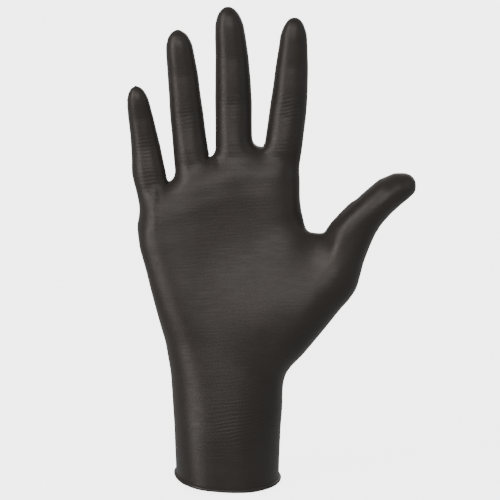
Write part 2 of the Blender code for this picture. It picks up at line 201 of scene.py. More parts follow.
# The picture
FILM_TINT, FILM_ROUGHNESS = (0.021, 0.0172, 0.0147), 0.40
BEAD_TINT, BEAD_ROUGHNESS = (0.020, 0.0165, 0.0145), 0.36
WARM = (1.0, 0.93, 0.87)
WHITE = (1.0, 1.0, 1.0)
LIGHTS = (  # name, place, size, watts and tint
    ("key", (-0.85, -0.62, 0.35), (0.5, 1.3), 8.5, WARM),
    ("front", (-0.1, -1.4, 0.55), (1.3, 0.8), 9.0, WARM),
    ("back", (0.45, 1.3, 0.7), (1.3, 0.9), 4.5, WARM),
    ("fill", (0.95, -0.5, 0.5), (0.5, 0.9), 0.8, WHITE),
)
SKY = 0.32
FLOOR_GREY = (0.92, 0.92, 0.92, 1)
FLOOR_GLOW = 4.0
FLOOR_FRONT, FLOOR_BACK, FLOOR_SIDE, FLOOR_TOP = -2.0, 1.6, 3.0, 2.5
FLOOR_CURVE = 0.5
CAMERA_DISTANCE = 1.0
CAMERA_RISE = math.radians(8.0)
CAMERA_VIEW = 1.035  # the height in view, as a share of the part's
CAMERA_AIM = (-0.0101, 0, 0.0)  # from the middle of the part


def read_points(mesh):
    points = np.empty(len(mesh.vertices) * 3)
    mesh.vertices.foreach_get("co", points)
    return points.reshape(-1, 3)


def unit(vector):
    vector = np.asarray(vector, float)
    return vector / np.linalg.norm(vector)


# ---------------------------------------------------------------- the skin's surface


def film_triangles():
    """The corner points of every triangle of the CAD film, without the bead."""
    corners = []
    for name, node in NODES.items():
        if name == "cuff_bead":
            continue
        node.data.calc_loop_triangles()
        faces = np.empty(len(node.data.loop_triangles) * 3, np.int32)
        node.data.loop_triangles.foreach_get("vertices", faces)
        corners.append(read_points(node.data)[faces.reshape(-1, 3)])
    return np.concatenate(corners)


def tree_of(triangles):
    points = triangles.reshape(-1, 3)
    faces = np.arange(len(points)).reshape(-1, 3)
    return BVHTree.FromPolygons(points.tolist(), faces.tolist())


def grown(cells, steps):
    """The cells and all within so many steps of them."""
    for _ in range(steps):
        more = cells.copy()
        for axis in range(3):
            ahead, behind = [slice(None)] * 3, [slice(None)] * 3
            ahead[axis], behind[axis] = slice(1, None), slice(None, -1)
            more[tuple(ahead)] |= cells[tuple(behind)]
            more[tuple(behind)] |= cells[tuple(ahead)]
        cells = more
    return cells


def cells_on(triangles, low, shape):
    """The grid cells that the triangles pass through."""
    a, b, c = triangles[:, 0], triangles[:, 1], triangles[:, 2]
    size = np.maximum(np.linalg.norm(b - a, axis=1), np.linalg.norm(c - a, axis=1))
    size = np.maximum(size, np.linalg.norm(c - b, axis=1))
    hit = np.zeros(shape, bool)
    for steps in range(1, int(size.max() / CELL) + 3):
        these = np.ceil(size / CELL).astype(int) + 1 == steps
        if not these.any():
            continue
        for i, j in itertools.product(range(steps + 1), repeat=2):
            if i + j > steps:
                continue
            point = a + (b - a) * (i / steps) + (c - a) * (j / steps)
            at = np.rint((point[these] - low) / CELL).astype(int)
            hit[at[:, 0], at[:, 1], at[:, 2]] = True
    return hit


def flood(free, start):
    """The free cells that can be reached from the start cells."""
    reached = start & free
    while True:
        before = reached.sum()
        for axis, reverse in itertools.product(range(3), (False, True)):
            view = np.moveaxis(reached, axis, 0)
            gate = np.moveaxis(free, axis, 0)
            order = range(1, view.shape[0])
            if reverse:
                view, gate = view[::-1], gate[::-1]
            for k in order:
                view[k] |= view[k - 1] & gate[k]
        if reached.sum() == before:
            return reached


def grid_over(triangles):
    """The lowest corner of the grid around the film, and how many places it has each way."""
    low = triangles.reshape(-1, 3).min(axis=0) - 6 * CELL
    high = triangles.reshape(-1, 3).max(axis=0) + 6 * CELL
    return low, tuple(np.ceil((high - low) / CELL).astype(int) + 1)


def outside_of(gap, lid):
    """The places that air can reach from around the glove, with the cuff sealed at the lid."""
    free = gap > WALL
    free[:, :, : lid + 1] = False
    start = np.zeros(gap.shape, bool)
    start[0], start[-1], start[:, :, -1] = True, True, True
    return flood(free, start)


def outer_faces(triangles, whole, outside, low, lid):
    """The triangles of the film's outer face."""
    middle = triangles.mean(axis=1)
    facing = np.cross(triangles[:, 1] - triangles[:, 0], triangles[:, 2] - triangles[:, 0])
    area = np.linalg.norm(facing, axis=1)
    facing = facing / np.maximum(area, 1e-12)[:, None]
    outer = middle[:, 2] < low[2] + (lid + 3) * CELL
    outer &= np.einsum("ij,ij->i", facing[:, :2], middle[:, :2]) > 0
    for distance in AHEAD:
        there = np.rint((middle + facing * distance - low) / CELL).astype(int)
        outer |= outside[there[:, 0], there[:, 1], there[:, 2]]
    outer &= area > 1e-10
    # A face across the gap between two zones looks straight at the next zone's film.
    for k in np.flatnonzero(outer).tolist():
        start = Vector(middle[k]) + Vector(facing[k]) * GAP_SKIPPED
        outer[k] = whole.ray_cast(start, Vector(facing[k]), CLEAR_AHEAD)[0] is None
    return triangles[outer]


def film_field():
    """Signed distances to the film's outer face on a grid, and the grid's lowest corner."""
    triangles = film_triangles()
    low, shape = grid_over(triangles)
    near = grown(cells_on(triangles, low, shape), int(BAND / CELL) + 1)
    places = (np.argwhere(near) * CELL + low).tolist()
    whole = tree_of(triangles)
    gap = np.full(shape, BAND)
    gap[near] = [whole.find_nearest(place)[3] for place in places]
    lid = int(round((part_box("cuff_sleeve")[0][2] + LID_HEIGHT - low[2]) / CELL))
    outside = outside_of(gap, lid)

    skin = tree_of(outer_faces(triangles, whole, outside, low, lid))
    signed = []
    for place in places:
        nearest, normal, _, distance = skin.find_nearest(place)
        away = (Vector(place) - nearest).dot(normal) >= 0
        signed.append(distance if away else -distance)
    signed = np.clip(signed, -BAND, BAND)
    field = np.where(outside, BAND, -BAND)
    field[near] = np.where(outside[near], np.abs(signed), signed)
    field[:, :, : lid + 1] = field[:, :, lid + 2][:, :, None]

    grid = np.stack(np.meshgrid(*[np.arange(n) for n in shape], indexing="ij"), axis=-1)
    field = merged(field, web_film(grid * CELL + low), WEB_MERGE)
    return valleys_filled(field, low), low


def merged(a, b, reach):
    """The union of two signed distances, rounded where they meet."""
    share = np.clip(0.5 + 0.5 * (b - a) / reach, 0, 1)
    return b + (a - b) * share - reach * share * (1 - share)


def web_film(places):
    """Signed distance to the film between palm and thumb, under a round edge and a straight one."""
    low, high = (np.array(corner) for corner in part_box("thumb_web_fold"))
    index_y, thumb_y = FINGER["index"][0].point[1], THUMB[1].point[1]
    centre_x, centre_z = (low[0] + high[0]) / 2, high[2] + WEB_RADIUS
    across, down = places[..., 0] - centre_x, centre_z - places[..., 2]
    from_centre = np.hypot(across, down)
    towards_thumb = np.clip(across / (WEB_SPAN * WEB_RADIUS) + WEB_LEAN, 0, 1)
    middle_y = index_y + (thumb_y - index_y) * towards_thumb
    straight = across * math.sin(WEB_TURN) + down * math.cos(WEB_TURN)
    past_turn = np.arctan2(across, down) > WEB_TURN
    depth = np.where(past_turn, straight, from_centre) - WEB_RADIUS - WEB_EDGE
    half = WEB_EDGE + np.clip(depth, 0, None) * WEB_WIDENING
    through = np.abs(places[..., 1] - middle_y)
    film = np.hypot(np.clip(-depth, 0, None), through) - half
    beyond = np.maximum(from_centre - WEB_REACH * WEB_RADIUS, np.where(across > 0, -BAND, -down))
    return np.clip(np.maximum(film, beyond), -BAND, BAND)


def spread_filter(levels, pick, reach):
    """Each place's least or greatest level within a square of places."""
    for axis in (0, 1):
        best = levels.copy()
        for step in range(1, reach + 1):
            ahead, behind = [slice(None)] * 2, [slice(None)] * 2
            ahead[axis], behind[axis] = slice(step, None), slice(None, -step)
            best[tuple(ahead)] = pick(best[tuple(ahead)], levels[tuple(behind)])
            best[tuple(behind)] = pick(best[tuple(behind)], levels[tuple(ahead)])
        levels = best
    return levels


def valleys_filled(field, low):
    """The field with the narrow valleys between thumb and palm filled, on both faces of the hand."""
    nx, ny, nz = field.shape
    x = (np.arange(nx) * CELL + low[0])[:, None]
    z = (np.arange(nz) * CELL + low[2])[None, :]
    web_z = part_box("thumb_web_fold")[1][2]
    here = (x > VALLEY_LEFT) & (x < THUMB[1].point[0] + VALLEY_RIGHT)
    here = here & (z > WRIST.point[2] + VALLEY_LOW) & (z < web_z - VALLEY_HIGH)
    layer = np.arange(ny)[None, :, None]
    for turn in (1, -1):
        view = field[:, ::turn]
        solid = view < 0
        level = np.where(solid.any(axis=1), solid.argmax(axis=1), ny).astype(float)
        closed = spread_filter(spread_filter(level, np.minimum, VALLEY), np.maximum, VALLEY)
        valley = here & (closed < level - 0.5) & (level < ny)
        above = closed[:, None, :] + VALLEY_SINK - layer
        below = layer - level[:, None, :] - VALLEY_OVERLAP
        fill = np.maximum(above, below) * CELL
        fill = np.where(valley[:, None, :], np.clip(fill, -BAND, BAND), BAND)
        field = np.minimum(view, fill)[:, ::turn]
    return field


def surface_net(field, low):
    """The field's zero level as points and quads, one point to each cell that the level crosses."""
    shape = np.array(field.shape) - 1
    offsets = np.array(list(itertools.product((0, 1), repeat=3)))
    corners = [field[x : x + shape[0], y : y + shape[1], z : z + shape[2]] for x, y, z in offsets]
    inside = sum((corner < 0).astype(int) for corner in corners)
    active = (inside > 0) & (inside < 8)
    index = np.full(tuple(shape), -1)
    index[active] = np.arange(active.sum())
    total = np.zeros((active.sum(), 3))
    hits = np.zeros(active.sum())
    for a, b in itertools.combinations(range(8), 2):
        if np.abs(offsets[a] - offsets[b]).sum() != 1:
            continue
        from_a, from_b = corners[a][active], corners[b][active]
        crossed = (from_a < 0) != (from_b < 0)
        share = from_a[crossed] / (from_a[crossed] - from_b[crossed])
        total[crossed] += offsets[a] + share[:, None] * (offsets[b] - offsets[a])
        hits[crossed] += 1
    points = (np.argwhere(active) + total / hits[:, None]) * CELL + low

    quads = []
    for axis in range(3):
        first, second = [slice(1, -1)] * 3, [slice(1, -1)] * 3
        first[axis], second[axis] = slice(None, -1), slice(1, None)
        a, b = field[tuple(first)], field[tuple(second)]
        crossed = (a < 0) != (b < 0)
        at = np.argwhere(crossed) + 1
        at[:, axis] -= 1
        u, v = np.eye(3, dtype=int)[(axis + 1) % 3], np.eye(3, dtype=int)[(axis + 2) % 3]
        ring = [at - u - v, at - v, at, at - u]
        quad = np.stack([index[r[:, 0], r[:, 1], r[:, 2]] for r in ring], axis=1)
        inward = (a < 0)[crossed]
        quad[~inward] = quad[~inward][:, ::-1]
        quads.append(quad)
    quads = np.concatenate(quads)
    return points, quads[(quads >= 0).all(axis=1)]


class Web:
    """The neighbours of each point of a mesh, for smoothing."""

    def __init__(self, count, quads):
        edges = np.concatenate([quads[:, [k, (k + 1) % 4]] for k in range(4)])
        edges = np.unique(np.sort(edges, axis=1), axis=0)
        both = np.concatenate([edges, edges[:, ::-1]])
        self.count = count
        self.here, self.there = both[:, 0], both[:, 1]
        self.degree = np.maximum(np.bincount(self.here, minlength=count), 1)

    def mean(self, values):
        sums = [np.bincount(self.here, values[self.there, k], self.count) for k in range(3)]
        return np.stack(sums, axis=1) / self.degree[:, None]

    def smoothed(self, points, rounds, weight, push=PUSH):
        """Points pulled towards their neighbours, and pushed back so that nothing shrinks."""
        pulls = (PULL, -push) if push else (PULL,)
        for _ in range(rounds):
            for pull in pulls:
                points = points + (self.mean(points) - points) * (pull * weight)[:, None]
        return points

    def stretched(self, points, quads, rounds, weight):
        """Points that move outwards only, as a taut film lifts out of each hollow it spans."""
        for turn in range(rounds):
            if turn % NORMALS_EVERY == 0:
                facing = normals_of(points, quads)
            pull = self.mean(points) - points
            outward = np.einsum("ij,ij->i", pull, facing)
            pull += facing * (np.clip(outward, 0, None) - outward)[:, None]
            points = points + pull * (STRETCH_PULL * weight)[:, None]
        return points


def normals_of(points, quads):
    across = points[quads[:, 2]] - points[quads[:, 0]]
    along = points[quads[:, 3]] - points[quads[:, 1]]
    faces = np.cross(across, along)
    normals = np.zeros_like(points)
    for k in range(4):
        for axis in range(3):
            normals[:, axis] += np.bincount(quads[:, k], faces[:, axis], len(points))
    return normals / np.maximum(np.linalg.norm(normals, axis=1), 1e-12)[:, None]


# ---------------------------------------------------------------- the joints


class Bend:
    """A joint's place, and the direction along the limb across it."""

    def __init__(self, name, along, before, after):
        joint = JOINTS[name]
        self.parent, self.child = joint["parent"], joint["child"]
        self.point = np.array(joint["pos_m"])
        self.axis = unit(joint["axis"])
        along = np.asarray(along, float)
        self.along = unit(along - along @ self.axis * self.axis)
        self.before, self.after = before, after

    def reach(self, points):
        """How far the points are past the hinge, along the limb."""
        return (points - self.point) @ self.along

    def starts(self, points):
        return self.reach(points) > -self.before

    def apply(self, piece):
        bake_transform(piece)


def finger_bends(name):
    low, high = (np.array(corner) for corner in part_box(f"{name}_middle_stall"))
    width = (high - low)[0]
    names = [f"{name}_{joint}_bend" for joint in ("knuckle", "middle", "tip")]
    root, middle, tip = (np.array(JOINTS[joint]["pos_m"]) for joint in names)
    spreads = (
        (0.0, KNUCKLE_LENGTH * width),
        (MIDDLE_LENGTH * width, MIDDLE_LENGTH * width),
        (TIP_LENGTH * width, TIP_LENGTH * width),
    )
    along = (middle - root, tip - middle, tip - middle)
    return [Bend(joint, ahead, *spread) for joint, ahead, spread in zip(names, along, spreads)]


def in_palm_plane(name):
    """The direction in the palm's plane, upwards, that is square to a joint's axis."""
    axis = JOINTS[name]["axis"]
    return unit((-axis[2], 0, axis[0])) * (1 if axis[0] > 0 else -1)


WRIST = Bend("wrist_bend", (0, 0, 1), *WRIST_SPREAD)
THUMB = (
    Bend("thumb_base_swing", (1, 0, 0), *BASE_SPREAD),
    Bend("thumb_knuckle_bend", in_palm_plane("thumb_knuckle_bend"), *THUMB_SPREAD),
    Bend("thumb_tip_bend", in_palm_plane("thumb_tip_bend"), *THUMB_TIP_SPREAD),
)
FINGER = {name: finger_bends(name) for name in FINGERS}


# ---------------------------------------------------------------- the hand's forms


def bump(points, centre, sizes, along=(0, 0, 1)):
    """A soft hill, 1 at its centre, with half sizes across, through and along a limb."""
    along = unit(along)
    across = unit(np.cross((0, 1, 0), along))
    offset = points - np.asarray(centre)
    parts = (offset @ across / sizes[0], offset[:, 1] / sizes[1], offset @ along / sizes[2])
    return np.exp(-sum(part**2 for part in parts))


def band(heights, centre, reach):
    """A soft band across the glove, 1 at its centre's height."""
    return np.exp(-(((heights - centre) / reach) ** 2))


def finger_forms(points, facing, name):
    """How far a finger's film stands out or in: pads, creases, joints and nail."""
    knuckle, middle, tip = FINGER[name]
    low, high = (np.array(corner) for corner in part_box(f"{name}_tip_stall"))
    root_low, root_high = (np.array(corner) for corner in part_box(f"{name}_root_stall"))
    width = min(root_high[0] - root_low[0], WIDEST)
    top = np.array([(low[0] + high[0]) / 2, low[1] + width * 0.45, high[2]])
    palm_side = np.clip(-facing[:, 1], 0, 1)
    back_side = np.clip(facing[:, 1], 0, 1)
    between = (1 - palm_side) * (1 - back_side)
    height = np.zeros(len(points))
    wide, deep = 0.75 * width, 1.2 * width

    stops = (knuckle.point, middle.point, tip.point, top)
    for start, end, rise in zip(stops, stops[1:], PADS):
        sizes = (wide, deep, np.linalg.norm(end - start) * 0.42)
        height += palm_side * bump(points, (start + end) / 2, sizes, end - start) * rise
    for bend, depth, bone in zip(FINGER[name], CREASES, BONES):
        crease = bump(points, bend.point, (wide, deep, CREASE_REACH), bend.along)
        joint = bump(points, bend.point, (0.5 * width, deep, 0.34 * width), bend.along)
        height += (back_side + 0.7 * between) * joint * bone - palm_side * crease * depth
    root = bump(points, knuckle.point, (wide, deep, 9 * MM), knuckle.along)
    height += palm_side * root * ROOT_RISE

    nail = top - tip.along * 0.62 * width
    flat = bump(points, nail, (0.34 * width, deep, 0.42 * width), tip.along)
    fold = bump(points, nail, (0.5 * width, deep, 0.58 * width), tip.along)
    return height + back_side * ((fold - flat) * NAIL_FOLD - flat**2 * NAIL_DEPTH)


def near_finger(points, name):
    """1 on one finger, falling to 0 beside it and below its root."""
    knuckle = FINGER[name][0]
    offset = points - knuckle.point
    side = np.abs(offset @ knuckle.axis)
    (half, soft_side), (foot, soft_foot) = FINGER_SIDE, FINGER_FOOT
    rise = np.clip((knuckle.reach(points) + foot) / soft_foot, 0, 1)
    return np.clip((half - side) / soft_side, 0, 1) * rise


def hand_forms(points, facing):
    """How far the palm's and the back's film stands out or in from the plain CAD form."""
    palm_side = np.clip(-facing[:, 1] * 1.5, 0, 1)
    back_side = np.clip(facing[:, 1] * 1.5, 0, 1)
    wrist = WRIST.point
    to_thumb = THUMB[1].point - wrist
    to_little, to_middle = (FINGER[name][0].point - wrist for name in ("little", "middle"))

    def hill(share, sizes, along=(0, 0, 1)):
        return bump(points, wrist + share, mm(*sizes), along)

    palm = THENAR * hill(to_thumb * np.array([0.5, 0, 0.62]), (17, THROUGH, 26), to_thumb)
    palm += HEEL * hill(to_little * np.array([0.66, 0, 0.42]), (13, THROUGH, 34), to_little)
    palm -= HOLLOW * hill(to_middle * np.array([0.0, 0, 0.62]), (19, THROUGH, 26))
    back = np.zeros(len(points))
    for name in FINGERS:
        knuckle = FINGER[name][0]
        mount = knuckle.point - knuckle.along * 11 * MM
        palm += MOUNT * bump(points, mount, mm(8.5, THROUGH, 8), knuckle.along)
        head = knuckle.point - knuckle.along * 20 * MM
        back += HEAD * bump(points, head, mm(8, THROUGH, 9), knuckle.along)
        back += TENDON * bump(points, (head + wrist) / 2, mm(3.2, THROUGH, 34), head - wrist)
    return palm_side * palm + back_side * back


def edge_forms(points, facing):
    """How far the hand's two edges stand out beyond the plain CAD form."""
    x, z = points[:, 0], points[:, 2]
    little, wrist = FINGER["little"][0].point, WRIST.point
    palm_edge = PALM_EDGE * band(z, wrist[2] + 40 * MM, 40 * MM)
    cuff_edge = CUFF_EDGE * band(z, 22 * MM, 26 * MM)
    root = LITTLE_EDGE * band(z, little[2] - 7 * MM, 13 * MM) * (x < little[0] + 4 * MM)
    outer_side = np.clip(-facing[:, 0], 0, 1) * (x < 0)
    thumb_side = np.clip(facing[:, 0], 0, 1) * (x > 0)
    wrist_edge = WRIST_EDGE * band(z, wrist[2] - 8 * MM, 15 * MM)
    return outer_side * (palm_edge + cuff_edge + root) + thumb_side * wrist_edge


def thumb_forms(points, facing):
    """The thumb's ball, its nail side and end, and the corner of its base joint."""
    _, knuckle, tip = THUMB
    low, high = (np.array(corner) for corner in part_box("thumb_tip_stall"))
    outward = np.array((tip.along[2], 0, -tip.along[0]))
    inner = np.clip(-facing @ outward, 0, 1)
    outer = np.clip(facing @ outward, 0, 1)
    ahead = np.clip(facing @ tip.along, 0, 1)
    end = np.array([high[0], (low[1] + high[1]) / 2, high[2] - 4 * MM])
    nail = end - tip.along * 4 * MM
    corner = knuckle.point + mm(8, 0, -21)

    ball = bump(points, (tip.point + end) / 2, mm(16, 20, 12), tip.along)
    neck = bump(points, (knuckle.point + tip.point) / 2, mm(16, 20, 8), knuckle.along)
    nail_edge = bump(points, nail, mm(12, 7, 2.2), tip.along)
    nail_bed = bump(points, nail - tip.along * 6 * MM, mm(12, 7, 4), tip.along)
    base = bump(points, corner, mm(9, 14, 7), knuckle.along)
    height = inner * (THUMB_NECK[0] * neck + THUMB_BALL[0] * ball)
    height += outer * (THUMB_NECK[1] * neck + THUMB_BALL[1] * ball)
    height += outer * (THUMB_NAIL[0] * nail_edge - THUMB_NAIL[1] * nail_bed)
    height += ahead * THUMB_END * bump(points, end, mm(16, 20, 8), tip.along)
    return height + np.clip(facing[:, 0], 0, 1) * THUMB_CORNER * base


def cuff_waves(points):
    """The slight unevenness of the loose sleeve, which grows towards its rim."""
    turn = np.arctan2(points[:, 1], points[:, 0])
    loose = np.clip((WRIST.point[2] + 6 * MM - points[:, 2]) / (34 * MM), 0, 1)
    (few, broad), (more, fine) = CUFF_WAVES
    wave = broad * np.sin(few * turn + 0.8)
    wave += fine * np.sin(more * turn + points[:, 2] / (13 * MM))
    return loose * (wave + CUFF_SWELL)


def lined(points):
    """Where the film shows fine lines: finger joints, the little finger's root, wrist and cuff."""
    shown = np.full(len(points), PLAIN_FILM)
    for name, strength in FINGER_LINES.items():
        knuckle_share = 1.0 if name == "little" else KNUCKLE_SHARE
        for bend, share in zip(FINGER[name], (knuckle_share, 1.0, TIP_SHARE)):
            place = bump(points, bend.point, mm(11, 20, 7), bend.along)
            shown = np.maximum(shown, place * strength * share)
    height = np.array((0, 0, WRIST.point[2]))
    sleeve = bump(points, height + mm(8, -20, -18), mm(17, 24, 13))
    wrist = bump(points, height + mm(6, -18, 4), mm(22, 30, 7))
    return np.maximum(shown, np.maximum(CUFF_LINES * sleeve, WRIST_LINES * wrist))


# ---------------------------------------------------------------- making the skin


def rim_plane():
    """Height of the CAD bead's middle plane at the origin, and its slopes along x and y."""
    points = read_points(NODES["cuff_bead"].data)
    sides = np.c_[np.ones(len(points)), points[:, :2]]
    return np.linalg.lstsq(sides, points[:, 2], rcond=None)[0]


def greatest(shares):
    """The greatest of several shares at each point."""
    return np.maximum.reduce(list(shares))


def past_roots(points):
    """0 on the palm, rising to 1 on the fingers beyond their roots."""
    return greatest(
        np.clip((FINGER[name][0].reach(points) + 2 * MM) / (10 * MM), 0, 1) for name in FINGERS
    )


def flat_between_fingers(points, facing):
    """1, but among the fingers' roots only where the film faces front or back."""
    little, index = FINGER["little"][0].point, FINGER["index"][0].point
    between = (points[:, 0] > little[0]) & (points[:, 0] < index[0])
    between &= points[:, 2] > little[2] - 16 * MM
    return np.where(between, np.clip(2 * np.abs(facing[:, 1]) - 0.6, 0, 1), 1.0)


def taut_palm(web, points, quads, loose, on_thumb):
    """The palm and the back with the film spanning their hollows, the thumb's valley first."""
    palm = 1 - past_roots(points)
    flat = flat_between_fingers(points, normals_of(points, quads))
    knuckle = THUMB[1].point
    valley = knuckle + (WRIST.point - knuckle) * np.array((0.62, 0, 0.32))
    pocket = bump(points, valley, mm(15, THROUGH, 15))
    hand = loose * palm * (1 - on_thumb) * flat
    points = web.smoothed(points, POCKET_ROUNDS, loose * pocket * palm, push=0.0)
    return web.stretched(points, quads, PALM_ROUNDS, hand)


def eased(web, points, quads, loose):
    """The outline eased at the little finger and the wrist, and the palm into the fingers."""
    little = FINGER["little"][0].point
    edge = bump(points, little - mm(9, 0, 14), mm(9, 16, 11))
    points = web.smoothed(points, EDGE_ROUNDS, loose * edge, push=0.0)
    side = bump(points, np.array((28 * MM, 0, WRIST.point[2] + 3 * MM)), mm(10, 30, 12))
    points = web.smoothed(points, WRIST_ROUNDS, loose * side, push=0.0)
    bends = [FINGER[name][0] for name in FINGERS]
    roots = greatest(
        bump(points, bend.point - bend.along * 3 * MM, mm(11, THROUGH, 11), bend.along)
        for bend in bends
    )
    palm_side = np.clip(-2 * normals_of(points, quads)[:, 1] - 0.6, 0, 1)
    return web.smoothed(points, ROOT_ROUNDS, loose * roots * palm_side, push=0.0)


def make_skin():
    """The outer face of the glove: its points and quads."""
    field, low = film_field()
    points, quads = surface_net(field, low)
    web = Web(len(points), quads)
    loose = np.where(points[:, 2] < low[2] + 2 * CELL, 0.0, 1.0)
    points = web.smoothed(points, FIRST_ROUNDS, loose)
    points = web.stretched(points, quads, STRETCH_ROUNDS, loose)

    on_finger = greatest(near_finger(points, name) for name in FINGERS)
    on_thumb = np.clip(THUMB[1].reach(points) / (8 * MM), 0, 1)
    on_thumb *= THUMB[0].reach(points) > THUMB_CLEAR
    points = taut_palm(web, points, quads, loose, on_thumb)
    points = web.smoothed(points, SMOOTHING_ROUNDS, loose)
    elsewhere = loose * (1 - HELD * np.maximum(on_finger, on_thumb))
    points = web.smoothed(points, TAUT_ROUNDS, elsewhere, push=TAUT_PUSH)
    points = eased(web, points, quads, loose)

    facing = normals_of(points, quads)
    height = hand_forms(points, facing) * (1 - on_finger)
    for name in FINGERS:
        height += finger_forms(points, facing, name) * near_finger(points, name)
    height += cuff_waves(points) + thumb_forms(points, facing) + edge_forms(points, facing)
    points = points + facing * height[:, None]
    return web.smoothed(points, LAST_ROUNDS, loose), quads


# ---------------------------------------------------------------- materials


class Look:
    """A material under construction, with helpers for its nodes."""

    def __init__(self, name):
        self.material = bpy.data.materials.new(name)
        self.material.use_nodes = True
        self.tree = self.material.node_tree
        self.surface = self.tree.nodes["Principled BSDF"]

    def node(self, kind, **settings):
        made = self.tree.nodes.new(kind)
        for setting, value in settings.items():
            setattr(made, setting, value)
        return made

    def link(self, source, target):
        self.tree.links.new(source, target)

    def fill(self, node, values):
        for name, value in values.items():
            node.inputs[name].default_value = value

    def attribute(self, name):
        return self.node("ShaderNodeAttribute", attribute_name=name, attribute_type="GEOMETRY")

    def noise(self, place, scale, detail, stretch=(1, 1, 1)):
        mapping = self.node("ShaderNodeMapping")
        self.fill(mapping, {"Scale": stretch})
        self.link(place, mapping.inputs["Vector"])
        texture = self.node("ShaderNodeTexNoise")
        self.fill(texture, {"Scale": scale, "Detail": detail})
        self.link(mapping.outputs["Vector"], texture.inputs["Vector"])
        return texture.outputs["Fac"]

    def spread(self, source, low, high):
        """A noise's middle values spread from one number to another."""
        made = self.node("ShaderNodeMapRange")
        self.fill(made, {"From Min": 0.3, "From Max": 0.7, "To Min": low, "To Max": high})
        self.link(source, made.inputs["Value"])
        return made.outputs["Result"]

    def raised(self, height, strength, distance, under=None):
        """A bump on the surface, on top of another one."""
        made = self.node("ShaderNodeBump")
        self.fill(made, {"Strength": strength, "Distance": distance})
        self.link(height, made.inputs["Height"])
        if under:
            self.link(under, made.inputs["Normal"])
        return made.outputs["Normal"]


def film_lines(look, place):
    """The wrinkles of stretched film, as strong as the mesh's own lines attribute says."""
    tilt = look.node("ShaderNodeMapping")
    look.fill(tilt, {"Rotation": (0.0, math.radians(6), 0.0)})
    look.link(place, tilt.inputs["Vector"])
    waves = look.node("ShaderNodeTexWave", bands_direction="Z")
    settings = {"Scale": 170.0, "Distortion": 7.0, "Detail": 3.0, "Detail Scale": 0.35}
    look.fill(waves, settings)
    look.link(tilt.outputs["Vector"], waves.inputs["Vector"])
    height = look.node("ShaderNodeMath", operation="MULTIPLY")
    look.link(waves.outputs["Fac"], height.inputs[0])
    look.link(look.attribute("crinkle").outputs["Fac"], height.inputs[1])
    return height.outputs["Value"]


def nitrile(name, tint, roughness):
    """Matt-satin black nitrile: mottled tint and gloss, fine stretch lines and a grained face."""
    look = Look(name)
    surface = look.surface
    look.fill(surface, {"Metallic": 0.0, "IOR": 1.5, "Specular IOR Level": 0.4})
    look.fill(surface, {"Sheen Weight": 0.12, "Sheen Roughness": 0.55})
    place = look.attribute("rest_place").outputs["Vector"]

    colours = look.node("ShaderNodeMix", data_type="RGBA")
    look.fill(colours, {"A": (*[0.82 * part for part in tint], 1)})
    look.fill(colours, {"B": (*[1.18 * part for part in tint], 1)})
    clouds = look.spread(look.noise(place, 38.0, 4.0), 0.0, 1.0)
    look.link(clouds, colours.inputs["Factor"])
    look.link(colours.outputs["Result"], surface.inputs["Base Color"])
    haze = look.noise(place, 120.0, 5.0, (1, 1, 3.5))
    haze = look.spread(haze, roughness - 0.05, roughness + 0.06)
    look.link(haze, surface.inputs["Roughness"])

    folds = look.raised(film_lines(look, place), 0.5, 0.22 * MM)
    streaks = look.noise(place, 200.0, 6.0, (0.3, 0.3, 4.5))
    streaks = look.raised(streaks, 0.3, 0.15 * MM, folds)
    grain = look.raised(look.noise(place, 2600.0, 3.0), 0.25, 0.04 * MM, streaks)
    look.link(grain, surface.inputs["Normal"])
    return look.material


# ---------------------------------------------------------------- pieces


def mesh_object(name, points, faces, normals, look):
    """A smooth mesh that also stores its points' places at rest and how lined the film is there."""
    mesh = bpy.data.meshes.new(name)
    mesh.from_pydata(points.tolist(), [], faces)
    mesh.polygons.foreach_set("use_smooth", np.ones(len(faces), bool))
    mesh.normals_split_custom_set_from_vertices(normals.tolist())
    rest = mesh.attributes.new("rest_place", "FLOAT_VECTOR", "POINT")
    rest.data.foreach_set("vector", points.ravel().astype(np.float32))
    lines = mesh.attributes.new("crinkle", "FLOAT", "POINT")
    lines.data.foreach_set("value", lined(points).astype(np.float32))
    mesh.materials.append(look)
    return added(bpy.data.objects.new(name, mesh))


def added(made):
    bpy.context.scene.collection.objects.link(made)
    return made


def cut_at_rim(points, quads, plane):
    """The skin above the rim's plane, and the points along the cut."""
    shape = bmesh.new()
    for point in points.tolist():
        shape.verts.new(point)
    shape.verts.ensure_lookup_table()
    for quad in quads.tolist():
        shape.faces.new([shape.verts[k] for k in quad])
    bmesh.ops.bisect_plane(
        shape,
        geom=shape.verts[:] + shape.edges[:] + shape.faces[:],
        plane_co=Vector((0, 0, plane[0])),
        plane_no=Vector((-plane[1], -plane[2], 1)).normalized(),
        dist=1e-5,
        clear_inner=True,
    )
    shape.verts.index_update()
    kept = np.array([vert.co for vert in shape.verts])
    faces = []
    for face in shape.faces:
        corners = [vert.index for vert in face.verts]
        if len(corners) == 4:
            faces.append(corners)
            continue
        for second, third in zip(corners[1:], corners[2:]):
            faces.append([corners[0], second, third, third])
    edge = [vert.index for vert in shape.verts if any(e.is_boundary for e in vert.link_edges)]
    shape.free()
    return kept, np.array(faces), kept[edge]


def nearest_finger(points):
    """The name of the finger whose line each point is closest to."""
    sides = []
    for name in FINGERS:
        knuckle, _, tip = FINGER[name]
        across = unit(np.cross(unit(tip.point - knuckle.point), (0, 1, 0)))
        sides.append(np.abs((points - knuckle.point) @ across))
    return np.array(FINGERS, object)[np.argmin(sides, axis=0)]


